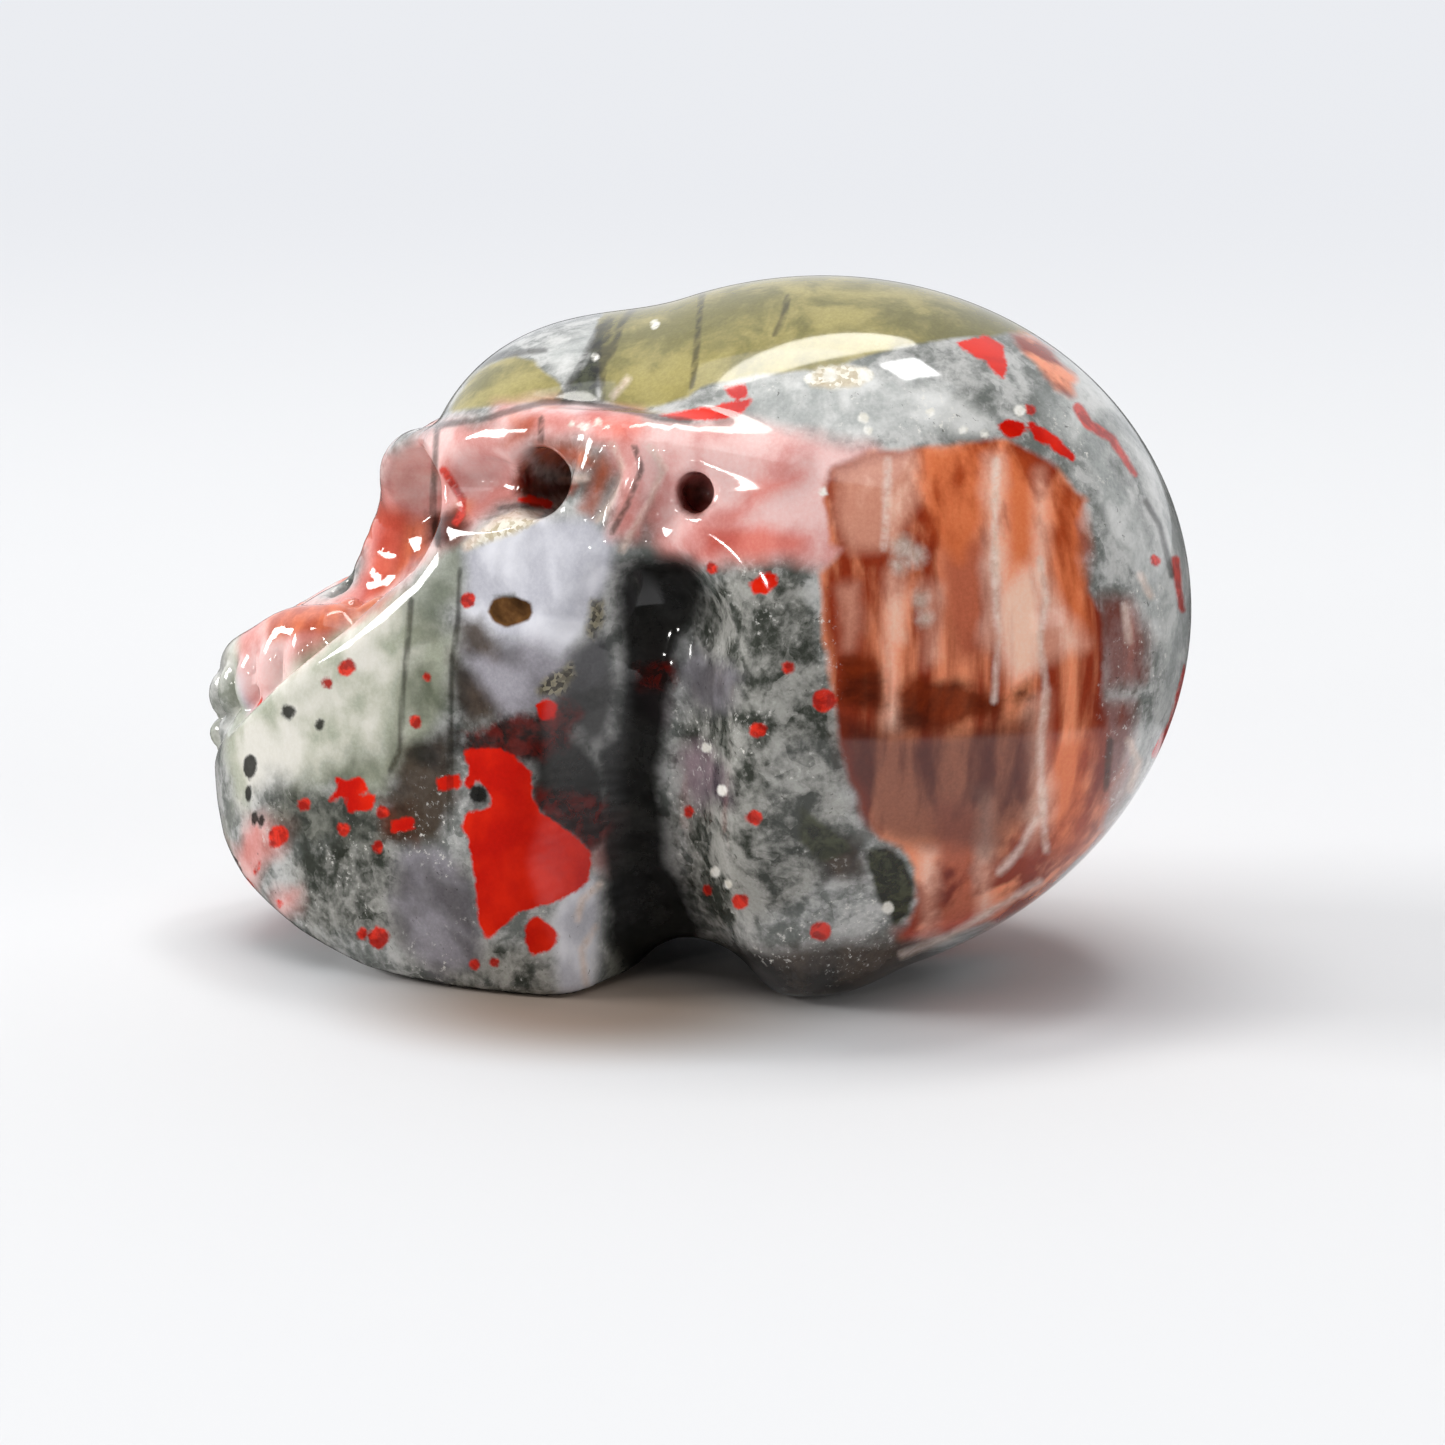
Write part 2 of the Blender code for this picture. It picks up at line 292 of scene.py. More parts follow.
# Grid of the drawn surface: its step, the steps in a coarse block and the fine band's half width. A corner
# moves at most MOST_SHIFT onto the surface, and one lower than FLOOR_SNAP goes down to the floor.
FINE_STEP = 0.29
COARSE = 3
BAND = 1.5
GRID_MARGIN = 1.2
CHIN_MARGIN = 0.4
SLOPE_STEP = 0.04
LEAST_SLOPE = 0.2
MOST_SHIFT = 0.1
FLOOR_SNAP = 0.06


def in_parts(function, points, size=150000):
    """The function's values at many points, worked out a part at a time."""
    return np.concatenate([function(points[i : i + size]) for i in range(0, len(points), size)])


def fine_surface():
    """Corners and quads of the carved surface, worked out finely only close to it."""
    low = np.array([-WIDTH / 2, -LENGTH / 2 - CHIN_MARGIN, 0.0]) - GRID_MARGIN
    high = np.array([WIDTH / 2, LENGTH / 2, HEIGHT]) + GRID_MARGIN
    blocks = np.ceil((high - low) / (FINE_STEP * COARSE)).astype(int)
    block_axes = [low[i] + FINE_STEP * (COARSE * np.arange(blocks[i]) + (COARSE - 1) / 2) for i in range(3)]
    centres = np.stack(np.meshgrid(*block_axes, indexing="ij"), axis=-1).astype(np.float32)
    coarse = in_parts(stone, centres.reshape(-1, 3)).reshape(blocks)
    fine = coarse.repeat(COARSE, 0).repeat(COARSE, 1).repeat(COARSE, 2).astype(np.float32)
    near = np.argwhere(np.abs(fine) < BAND)
    fine[tuple(near.T)] = in_parts(stone, (low + near * FINE_STEP).astype(np.float32))
    grid = openvdb.FloatGrid(BAND)
    grid.copyFromArray(fine)
    corners, quads = grid.convertToQuads(0.0)
    return (low + corners.astype(float) * FINE_STEP).astype(np.float32), quads


def settled(corners):
    """The corners moved onto the surface itself, with the directions that it faces there."""
    slope = np.zeros(corners.shape, np.float32)
    for axis in range(3):
        step = np.zeros(3, np.float32)
        step[axis] = SLOPE_STEP
        rise = in_parts(stone, corners + step) - in_parts(stone, corners - step)
        slope[:, axis] = rise / (2 * SLOPE_STEP)
    size = np.maximum(np.linalg.norm(slope, axis=1, keepdims=True), LEAST_SLOPE)
    shift = np.clip(in_parts(stone, corners)[:, None] / size, -MOST_SHIFT, MOST_SHIFT)
    return corners - shift * slope / size, slope / size


def to_photo(corners):
    """Where the photograph shows each point, in its pixels, and how far the point is toward the camera."""
    away = (EYE - corners) @ BACK
    off = corners - TARGET
    scale = PIXELS_PER_MM * DISTANCE / away
    across = PHOTO / 2 + off @ RIGHT * scale
    down = PHOTO / 2 - off @ UP * scale
    return across, down, off @ BACK


def stone_mesh():
    """The fine surface as a mesh in metres, where the solid is, with its corners in millimetres as drawn."""
    corners, quads = fine_surface()
    corners, facing = settled(corners)
    corners[corners[:, 2] < FLOOR_SNAP, 2] = 0.0
    mesh = bpy.data.meshes.new("polished_stone")
    mesh.from_pydata(((corners + (0.0, BACK_SHIFT, 0.0)) * MM).tolist(), [], quads.tolist())
    mesh.shade_smooth()
    mesh.normals_split_custom_set_from_vertices(facing.tolist())
    return mesh, corners


# Colour zones of the stone, in photograph pixels. An outline is a list of corners, a line is a list of
# points with a half width, and a spot is a point with a radius. The lively zones have no colour of their own:
# the stone is full of white sugar-like crystals and dark pits there.
OUTLINES = {}
OUTLINES["pale_grey"] = {
    "brow_triangle": [(544, 352), (560, 341), (600, 326), (598, 335), (580, 362), (567, 374), (553, 368)],
    "band": [(735, 378), (800, 372), (880, 372), (950, 392), (1000, 420), (980, 436), (900, 430),
        (840, 440), (760, 416), (720, 402)],
    "rear_band": [(1056, 392), (1080, 412), (1100, 440), (1130, 490), (1158, 560), (1170, 640), (1150, 650),
        (1135, 580), (1105, 510), (1080, 450)],
    "lobe_top": [(1040, 392), (1075, 418), (1096, 455), (1090, 472), (1075, 450), (1055, 428)],
    "rear_edge": [(1150, 470), (1200, 560), (1196, 700), (1168, 740), (1160, 640), (1150, 560)],
    "low_rim": [(1110, 740), (1160, 720), (1120, 830), (1050, 900), (940, 965), (880, 975), (940, 938),
        (1040, 890), (1092, 840)],
    "top_rim": [(1000, 306), (1100, 372), (1160, 470), (1188, 600), (1172, 600), (1145, 480), (1086, 386),
        (995, 324)],
}
OUTLINES["olive"] = {
    "front_lobe": [(447, 412), (455, 395), (470, 378), (490, 364), (515, 357), (535, 361), (560, 385),
        (566, 400), (500, 405), (468, 408)],
    "crown": [(604, 290), (700, 270), (830, 255), (950, 262), (1060, 300), (1075, 350), (1040, 332),
        (955, 338), (900, 347), (830, 366), (755, 376), (700, 388), (690, 396), (640, 411), (600, 401),
        (597, 350)],
}
OUTLINES["dark_green"] = {
    "low_front": [(610, 938), (650, 930), (650, 1005), (602, 1005)],
    "jaw_left": [(262, 800), (300, 792), (380, 800), (396, 846), (360, 852), (300, 848), (270, 836)],
}
OUTLINES["deep_green"] = {
    "crown_wedge": [(605, 322), (601, 350), (599, 380), (598, 403), (560, 401), (570, 385), (585, 362),
        (598, 335)],
    "inclusion_top": [(490, 596), (514, 593), (517, 600), (492, 602)],
    "rear_lobe": [(865, 850), (885, 845), (905, 858), (915, 885), (910, 915), (895, 925), (880, 900),
        (868, 870)],
    "low_side": [(800, 803), (830, 828), (852, 850), (822, 862), (798, 840)],
}
OUTLINES["cream"] = {
    "jaw_plate": [(200, 596), (300, 588), (395, 594), (416, 640), (406, 690), (398, 740), (360, 750),
        (320, 770), (262, 776), (236, 800), (205, 790), (190, 695)],
}
OUTLINES["sage"] = {
    "cheek_wedge": [(408, 592), (430, 562), (462, 536), (470, 560), (464, 600), (440, 612), (412, 616)],
}
OUTLINES["lavender_and_painted_light"] = {
    "teeth": [(218, 648), (262, 628), (300, 640), (262, 690), (225, 716), (208, 694)],
    "cheek": [(465, 550), (500, 532), (540, 520), (590, 518), (612, 540), (612, 570), (600, 600),
        (586, 632), (572, 655), (545, 686), (528, 704), (502, 706), (480, 690), (468, 672), (464, 650),
        (468, 640), (462, 612), (464, 585)],
    # jaw_rear is painted light: a pale colour on the jaw's rear foot that stands in for light from the floor.
    "jaw_rear": [(566, 890), (596, 874), (602, 916), (596, 996), (560, 996), (554, 920)],
    "brow": [(520, 404), (560, 402), (604, 408), (600, 420), (556, 418), (520, 416)],
}
OUTLINES["jade"] = {
    "jaw_mid": [(330, 612), (400, 596), (456, 636), (456, 700), (414, 764), (384, 792), (300, 788),
        (296, 740), (330, 690)],
}
# A grey veil: at channel_streak and side_light it is a painted reflection, at jaw_low and cheek_low a darker
# grey on the stone.
OUTLINES["haze"] = {
    "channel_streak": [(654, 620), (668, 624), (672, 650), (658, 652)],
    "jaw_low": [(400, 850), (440, 846), (470, 880), (480, 930), (478, 966), (440, 976), (404, 950),
        (392, 900)],
    "cheek_low": [(462, 646), (540, 640), (572, 654), (560, 690), (540, 712), (500, 722), (468, 712)],
    "side_light": [(676, 668), (694, 648), (724, 664), (744, 676), (736, 706), (712, 714), (690, 704)],
}
# Painted shade on the rear edge of the jaw, darkening toward the groove.
OUTLINES["painted_groove_shade"] = {
    "channel_front": [(566, 648), (592, 632), (612, 640), (618, 690), (610, 740), (588, 748), (566, 720),
        (556, 696)],
}
OUTLINES["umber_and_shade"] = {
    "jaw_front": [(402, 742), (450, 730), (460, 800), (440, 842), (396, 846), (384, 800)],
    # jaw_shadow is painted shade; the other umber zones are the stone's colour.
    "jaw_shadow": [(448, 650), (470, 664), (500, 704), (500, 724), (466, 730), (450, 700)],
    "purple": [(818, 845), (862, 842), (866, 880), (822, 884)],
    "base_side": [(700, 935), (760, 950), (900, 938), (940, 950), (900, 1000), (700, 1000), (690, 960)],
    "cheek_smudge": [(458, 620), (482, 616), (500, 640), (496, 660), (462, 658)],
}
OUTLINES["pink_and_highlight"] = {
    "teeth": [(212, 604), (250, 575), (330, 552), (390, 528), (442, 522), (440, 545), (400, 584),
        (345, 624), (262, 690), (222, 704)],
    "temple": [(586, 412), (640, 420), (700, 424), (760, 424), (830, 440), (880, 450), (866, 540),
        (830, 566), (760, 556), (700, 566), (664, 556), (640, 520), (655, 470), (640, 440), (600, 438)],
    "jaw_low": [(222, 812), (262, 812), (290, 826), (282, 852), (246, 852), (226, 840)],
    "glabella": [(384, 455), (440, 425), (505, 420), (530, 440), (524, 500), (500, 506), (470, 530),
        (430, 540), (384, 545), (380, 500)],
    "socket_front": [(461, 478), (480, 476), (498, 487), (482, 492), (464, 488)],
    # A painted highlight on the rear of the jaw.
    "rear_painted_highlight": [(596, 815), (622, 815), (614, 845), (610, 872), (594, 866)],
    "chin": [(246, 880), (300, 890), (288, 930), (256, 916)],
    "brow": [(500, 404), (560, 402), (640, 416), (668, 440), (664, 480), (640, 540), (612, 534), (616, 480),
        (600, 446), (545, 440), (490, 430)],
}
OUTLINES["grey_green"] = {
    "jaw_base": [(396, 880), (470, 860), (480, 940), (540, 950), (560, 1000), (460, 992), (400, 965)],
    "side": [(690, 600), (740, 566), (800, 570), (826, 640), (836, 700), (850, 780), (850, 850), (812, 900),
        (720, 930), (684, 900), (672, 760), (690, 690)],
    "jaw_low": [(286, 852), (400, 848), (420, 880), (400, 932), (330, 945), (290, 900)],
}
OUTLINES["brown"] = {
    "patch": [(822, 500), (830, 470), (845, 460), (870, 452), (905, 449), (960, 443), (1010, 440),
        (1040, 455), (1062, 470), (1088, 500), (1076, 520), (1076, 560), (1090, 590), (1101, 610),
        (1101, 700), (1110, 790), (1100, 835), (1080, 860), (1060, 880), (1035, 905), (1000, 921),
        (940, 931), (898, 940), (905, 925), (917, 900), (912, 870), (900, 848), (880, 840), (860, 815),
        (850, 780), (838, 716), (828, 680), (820, 640), (822, 575), (836, 560), (845, 548), (830, 542)],
    "rear_stripe": [(1008, 332), (1030, 338), (1052, 350), (1072, 376), (1072, 392), (1056, 390),
        (1042, 376), (1026, 360)],
}
OUTLINES["dark_brown_and_shade"] = {
    "nose_side": [(430, 512), (458, 508), (470, 524), (452, 545), (428, 542)],
    "jaw_smudge": [(380, 800), (416, 800), (420, 842), (380, 840)],
    "well_left": [(838, 656), (852, 650), (878, 656), (886, 680), (886, 708), (860, 712), (840, 700)],
    "well_middle": [(894, 690), (914, 672), (938, 682), (960, 676), (985, 690), (1004, 700), (996, 716),
        (960, 726), (930, 732), (902, 728)],
    "well_right": [(1012, 690), (1030, 680), (1034, 700), (1016, 706)],
    # temple_pit and socket_floor are painted shade inside the hollows; the other dark brown zones are the
    # stone's colour.
    "temple_pit": [(682, 486), (702, 482), (712, 504), (698, 518), (682, 508)],
    "socket_floor": [(512, 476), (545, 478), (582, 480), (572, 494), (540, 500), (515, 494)],
}
OUTLINES["amber"] = {
    "inclusion": [(487, 612), (491, 600), (502, 596), (517, 597), (530, 602), (533, 611), (528, 620),
        (506, 628), (493, 622)],
}
# The brown patch below the haze line, duller under a painted reflection haze.
OUTLINES["brown_under_painted_haze"] = {
    "low_left": [(842, 716), (900, 732), (960, 728), (1030, 716), (1036, 800), (1000, 850), (930, 850),
        (900, 846), (868, 828), (848, 780)],
}
OUTLINES["brass"] = {
    "channel_low": [(536, 690), (546, 676), (562, 668), (572, 662), (574, 676), (562, 694), (541, 697)],
    "channel_edge": [(590, 600), (604, 600), (604, 622), (592, 640), (584, 634)],
}
OUTLINES["gold"] = {
    "strip": [(463, 546), (480, 530), (500, 516), (520, 510), (541, 512), (535, 522), (515, 532),
        (490, 541), (470, 549)],
    "crown_grain": [(806, 378), (820, 368), (848, 366), (866, 368), (874, 375), (860, 385), (830, 389),
        (812, 386)],
}
# The stone's own near-black colour, deepened by painted shade in the channel and at the jaw's rear.
OUTLINES["black_green_and_shade"] = {
    "channel": [(614, 566), (640, 556), (690, 560), (706, 580), (702, 612), (684, 640), (672, 680),
        (664, 740), (662, 800), (668, 860), (690, 890), (704, 930), (690, 980), (640, 990), (606, 940),
        (604, 880), (598, 850), (600, 790), (590, 750), (612, 735), (622, 690), (618, 640)],
    "jaw_notch": [(468, 784), (482, 786), (493, 800), (488, 808), (474, 806)],
    "jaw_line": [(448, 722), (462, 722), (462, 744), (450, 760)],
    "jaw_rear": [(530, 742), (560, 724), (590, 740), (608, 780), (608, 850), (590, 850), (562, 830),
        (534, 800)],
}
OUTLINES["rust"] = {
    "middle": [(944, 530), (990, 534), (992, 650), (960, 660), (944, 620)],
    "right": [(1096, 596), (1128, 600), (1148, 640), (1144, 680), (1104, 690)],
    "right_low": [(1096, 700), (1134, 704), (1128, 770), (1100, 840), (1092, 780)],
    "low_middle": [(932, 800), (980, 800), (980, 925), (936, 930)],
}
OUTLINES["orange"] = {
    "brow_spot": [(513, 420), (530, 411), (541, 415), (537, 430), (525, 440), (505, 448), (499, 443),
        (511, 434)],
    "hole_roof": [(533, 441), (582, 440), (592, 466), (560, 469), (539, 463)],
    "hole_rim": [(521, 462), (531, 468), (533, 486), (524, 492), (519, 480)],
    "flame": [(604, 455), (612, 470), (602, 500), (592, 516), (579, 508), (594, 480), (598, 460)],
    "crest_low": [(458, 500), (472, 502), (468, 520), (456, 522)],
    "muzzle": [(250, 596), (330, 600), (392, 590), (384, 612), (320, 632), (262, 636)],
    "nose_side": [(396, 512), (430, 520), (426, 560), (380, 580), (350, 580), (380, 540)],
    "patch_middle": [(924, 450), (986, 444), (984, 520), (960, 560), (930, 530)],
    "patch_stripe": [(1006, 450), (1032, 456), (1032, 560), (1010, 560)],
    "patch_low": [(1046, 740), (1088, 738), (1086, 850), (1050, 856)],
    "patch_edge": [(1054, 480), (1084, 500), (1090, 650), (1058, 640)],
}
OUTLINES["dim_red"] = {
    "jaw_side": [(528, 786), (560, 792), (604, 800), (606, 830), (590, 850), (556, 830), (536, 812)],
    "channel": [(640, 664), (672, 662), (674, 684), (644, 684)],
    "socket": [(520, 470), (530, 470), (532, 486), (522, 488)],
    "jaw_top": [(462, 734), (500, 716), (540, 712), (562, 700), (578, 716), (572, 748), (530, 764),
        (500, 756), (466, 758)],
}
OUTLINES["red"] = {
    "side_spot": [(750, 584), (762, 573), (776, 572), (779, 584), (766, 594), (754, 593)],
    "channel": [(536, 704), (548, 698), (558, 706), (553, 722), (541, 719)],
    "jaw_scarlet": [(463, 752), (470, 748), (500, 748), (512, 755), (522, 765), (531, 772), (532, 795),
        (540, 812), (575, 835), (592, 855), (590, 880), (570, 895), (545, 905), (520, 912), (505, 925),
        (488, 941), (480, 928), (477, 905), (476, 880), (470, 855), (468, 840), (459, 825), (468, 811),
        (490, 808), (491, 794), (478, 780), (468, 791), (464, 782), (470, 768)],
    "jaw_stub": [(437, 777), (460, 774), (461, 789), (438, 791)],
    "jaw_patch": [(334, 776), (345, 780), (361, 777), (366, 790), (355, 799), (341, 797), (334, 804),
        (329, 800), (336, 788)],
    "jaw_soft": [(345, 797), (375, 795), (373, 810), (348, 812)],
    "chin": [(236, 864), (250, 866), (265, 880), (286, 897), (284, 909), (270, 906), (254, 892),
        (240, 877)],
    "jaw_dull": [(390, 820), (414, 817), (416, 830), (392, 833)],
    "crown_spot": [(722, 387), (745, 382), (749, 395), (738, 401), (727, 394)],
    "crown_lens": [(660, 416), (700, 408), (754, 398), (745, 411), (720, 419), (690, 421)],
    "crown_triangle": [(955, 342), (985, 336), (1003, 345), (1007, 360), (1006, 381), (998, 376),
        (985, 362), (965, 352)],
    "rear_oval": [(996, 426), (1010, 418), (1023, 422), (1027, 430), (1018, 439), (1007, 438)],
    "rear_branch": [(1027, 420), (1045, 429), (1060, 439), (1076, 455), (1074, 464), (1060, 456),
        (1050, 446), (1035, 441)],
    "rear_edge": [(1184, 664), (1196, 690), (1184, 726), (1160, 764), (1152, 752), (1170, 722),
        (1179, 690)],
    "lens": [(516, 500), (530, 496), (553, 502), (550, 508), (530, 505)],
    "jaw_base": [(524, 924), (536, 916), (552, 926), (560, 938), (548, 952), (532, 956), (526, 942)],
}
OUTLINES["pale_stripe_and_reflection"] = {
    # A painted reflection on the brown patch; the other pale stripes are the stone's colour.
    "painted_reflection": [(1040, 560), (1052, 590), (1086, 645), (1045, 666), (1013, 684), (984, 640), (990, 600)],
    "between_wells": [(884, 640), (896, 650), (898, 728), (888, 728)],
    "long_stripe": [(988, 458), (1000, 458), (1004, 560), (1002, 640), (992, 644), (986, 560)],
    "thin_stripe": [(1037, 470), (1043, 470), (1043, 560), (1038, 560)],
    "low_stripe": [(980, 790), (990, 790), (988, 920), (981, 920)],
    "low_left": [(920, 850), (936, 850), (934, 930), (922, 930)],
    "low_right": [(1028, 700), (1046, 690), (1048, 830), (1030, 850)],
    "top_left": [(840, 470), (862, 458), (912, 452), (914, 500), (900, 530), (880, 552), (852, 548),
        (836, 520)],
    "left_streak": [(842, 590), (858, 584), (860, 630), (852, 656), (842, 650)],
    "middle_streak": [(884, 570), (902, 566), (904, 640), (888, 650)],
    "inner_streak": [(922, 586), (938, 590), (936, 660), (924, 668)],
}
OUTLINES["soft_red"] = {
    "temple": [(700, 526), (760, 522), (812, 536), (800, 556), (740, 562), (700, 556)],
    "wing": [(742, 488), (760, 479), (800, 474), (792, 488), (770, 498), (755, 511), (738, 522), (718, 520),
        (740, 505)],
    "brow_side": [(590, 414), (640, 412), (644, 432), (632, 442), (596, 440)],
    "nose": [(384, 520), (410, 516), (404, 556), (360, 580), (340, 580)],
    "low_strip": [(898, 934), (950, 920), (1002, 908), (1000, 916), (940, 932), (902, 942)],
}
OUTLINES["lively"] = {
    "side": [(672, 560), (830, 560), (850, 780), (920, 940), (900, 1000), (690, 1000), (660, 900),
        (664, 760)],
    "band": [(730, 380), (880, 375), (1080, 400), (1160, 560), (1190, 740), (1110, 860), (1090, 600),
        (1080, 480), (1000, 440), (830, 440), (760, 425)],
    "jaw": [(200, 780), (400, 790), (480, 700), (600, 800), (600, 1000), (200, 1000)],
}
OUTLINES["mauve"] = {
    "side": [(680, 755), (700, 744), (722, 770), (724, 800), (700, 808), (683, 786)],
    "channel_upper": [(640, 626), (668, 626), (666, 662), (642, 664)],
    "channel_blob": [(640, 680), (664, 682), (662, 720), (642, 720)],
}
LINES = {}
LINES["red_edge"] = {
    "right_run": [(1175, 560), (1182, 610)],
    "rear_run": [(1078, 408), (1088, 424), (1112, 438), (1134, 474)],
    "socket_edge": [(443, 470), (462, 498), (462, 514), (456, 522)],
}
LINES["dark_vein_and_shade"] = {
    "brow_crease": [(440, 425), (480, 420), (520, 408), (545, 402), (580, 402), (610, 407), (640, 413),
        (660, 418), (690, 421)],
    "lobe_ridge": [(455, 376), (500, 355), (545, 350)],
    "wedge_left": [(600, 326), (575, 375), (560, 397)],
    "wedge_right": [(598, 345), (597, 385)],
    "wedge_edge": [(610, 318), (604, 350), (602, 402)],
    "crown_thin": [(702, 294), (698, 330), (697, 345), (692, 388)],
    "crown_thin_rear": [(788, 297), (783, 318), (775, 335)],
    "jaw_green": [(411, 600), (408, 640), (402, 700), (400, 750), (390, 772)],
    "jaw_black": [(460, 570), (458, 620), (452, 660), (450, 760), (450, 830)],
    "brow_vein": [(541, 418), (541, 441)],
    "nose_vein": [(437, 425), (434, 480), (438, 545)],
    # A painted shade line between the ridges of the eye rim.
    "rim_shadow": [(634, 446), (642, 468), (628, 504), (612, 532)],
    "dome_branch": [(640, 300), (622, 322), (612, 352), (596, 372)],
    "rear_line": [(1145, 500), (1160, 526), (1166, 552), (1172, 576)],
    "rear_low": [(1110, 740), (1106, 790)],
    "socket_lens": [(500, 508), (520, 505), (540, 508)],
}
LINES["white_vein_and_highlight"] = {
    # Painted highlights along the edges of the eye rim.
    "rim_outer_highlight": [(650, 448), (664, 468), (650, 500), (634, 528), (622, 550)],
    "rim_inner_highlight": [(612, 444), (622, 466), (612, 500), (598, 520)],
    "patch_vein": [(1040, 560), (1046, 600), (1040, 640), (1046, 690), (1041, 740), (1041, 790),
        (1046, 850)],
    "patch_branch": [(1036, 820), (1020, 850), (1000, 872)],
    "patch_stripe": [(996, 460), (994, 560), (998, 640), (994, 700)],
    "patch_upper": [(888, 460), (886, 520), (884, 548)],
    # Painted highlights on the rear of the jaw.
    "jaw_rear": [(600, 884), (582, 900), (578, 920)],
    "jaw_rear_low": [(596, 926), (582, 950), (586, 984)],
    "brow_scratch": [(613, 396), (628, 379)],
    "gold_strip": [(466, 547), (482, 531), (502, 517), (522, 514), (540, 514)],
    "rear_blob": [(1140, 575), (1150, 596)],
    "rear_thin": [(1125, 606), (1129, 640)],
    "rim_right": [(1130, 742), (1139, 762), (1130, 790)],
    "rim_low": [(1040, 882), (950, 936), (902, 955)],
    "hole_glint": [(562, 480), (586, 478)],
}
SPOTS = {}
SPOTS["red_spot"] = {
    "jaw_long": (347, 668, 9), "cheek": (469, 600, 9), "jaw_low": (378, 938, 10), "jaw_pit": (277, 836, 11),
    "side_top": (712, 568, 6), "side_rear": (788, 668, 7), "side_mid": (758, 730, 8),
    "side_low": (755, 818, 7), "side_front": (690, 812, 6), "low_oval": (740, 902, 9),
    "low_left": (708, 890, 6), "low_right": (820, 930, 9), "dark_side": (825, 700, 12),
    "jaw_small": (383, 812, 7), "jaw_mid": (343, 829, 6), "jaw_left": (305, 805, 6),
    "jaw_line": (378, 846, 5), "jaw_dot": (249, 852, 5), "jaw_brown": (427, 677, 6),
    "jaw_brown_low": (416, 722, 6), "jaw_orange": (327, 683, 5), "foot": (494, 963, 5),
    "foot_left": (475, 965, 6), "rear_dot": (1030, 410, 5), "rear_mid": (1155, 560, 5),
    "chin_orange": (362, 934, 7), "tooth": (240, 695, 5),
}
SPOTS["black_spot"] = {
    "jaw_upper": (288, 712, 8), "jaw_star": (245, 763, 11), "jaw_lower": (240, 788, 7),
    "jaw_edge": (248, 812, 6), "jaw_edge_low": (258, 818, 6), "jaw_grey": (320, 724, 5),
    "jaw_notch": (478, 794, 9),
}
SPOTS["white_cloud"] = {
    "patch": (903, 548, 12), "patch_low": (898, 566, 9), "patch_side": (914, 556, 9), "vein": (920, 600, 8),
    "vein_low": (924, 620, 8),
}
SPOTS["white_spot"] = {
    "rear_oval": (1020, 411, 6), "crown_grain": (655, 325, 4), "crown_grain_left": (595, 357, 4),
    "band_one": (863, 418, 5), "band_two": (868, 430, 4), "band_three": (930, 412, 4),
    "band_four": (963, 430, 4), "band_five": (985, 434, 4), "band_six": (823, 492, 5),
    "gold_one": (808, 378, 5), "gold_two": (830, 376, 7), "gold_three": (866, 375, 7),
    "brow_one": (572, 424, 4), "brow_two": (584, 427, 5), "brow_three": (598, 422, 4),
    "patch_low": (888, 908, 6), "jaw_one": (715, 872, 6), "jaw_two": (728, 884, 5),
    "side_grain": (706, 748, 5), "side_grain_two": (722, 790, 5),
}
LINE_HALF_WIDTHS = {"red_edge": 4.0, "dark_vein_and_shade": 2.9, "white_vein_and_highlight": 3.2}

# Behind the middle of the stone the zones wander off, by pixels that grow over a depth in millimetres, so
# that the far side differs.
FAR_WANDER = 130.0
FAR_DEPTH = 9.0
FAR_START = 1.0
WANDER_SCALE = 24.0
ACROSS_SEED = 3
DOWN_SEED = 8
# No corner is stored as farther outside a zone than this, in pixels.
FARTHEST = -60.0


def wander(corners, scale, seed):
    """A smooth value between about -1 and 1 at each point, from a few crossing waves."""
    rng = np.random.default_rng(seed)
    value = np.zeros(len(corners))
    for octave in range(1, 4):
        for _ in range(4):
            direction = rng.normal(size=3)
            direction /= np.linalg.norm(direction)
            value += np.sin(corners @ direction * octave / scale * 2 * math.pi + rng.uniform(0, 6.3)) / octave
    return value / 3.2


def add_zones(mesh, corners):
    """Store for each kind of colour how far inside its zones each corner lies, in photograph pixels."""
    across, down, nearness = to_photo(corners)
    far = np.clip((FAR_START - nearness) / FAR_DEPTH, 0.0, 1.0)
    far = far * far * (3.0 - 2.0 * far) * FAR_WANDER
    across = across + far * wander(corners, WANDER_SCALE, ACROSS_SEED)
    down = down + far * wander(corners, WANDER_SCALE, DOWN_SEED)
    fields = {}
    for kind, shapes in OUTLINES.items():
        fields[kind] = [-outline(across, down, shape) for shape in shapes.values()]
    for kind, shapes in LINES.items():
        fields[kind] = [LINE_HALF_WIDTHS[kind] - line(across, down, shape) for shape in shapes.values()]
    for kind, shapes in SPOTS.items():
        fields[kind] = [r - np.hypot(across - x, down - y) for x, y, r in shapes.values()]
    for kind, layers in fields.items():
        value = np.maximum(np.max(layers, axis=0), FARTHEST)
        mesh.attributes.new(kind, "FLOAT", "POINT").data.foreach_set("value", value.astype(np.float32))


def screen(red, green, blue):
    """The linear colour of a screen colour given from 0 to 255."""
    levels = [level / 255.0 for level in (red, green, blue)]
    linear = [c / 12.92 if c <= 0.04045 else ((c + 0.055) / 1.055) ** 2.4 for c in levels]
    return (*linear, 1.0)


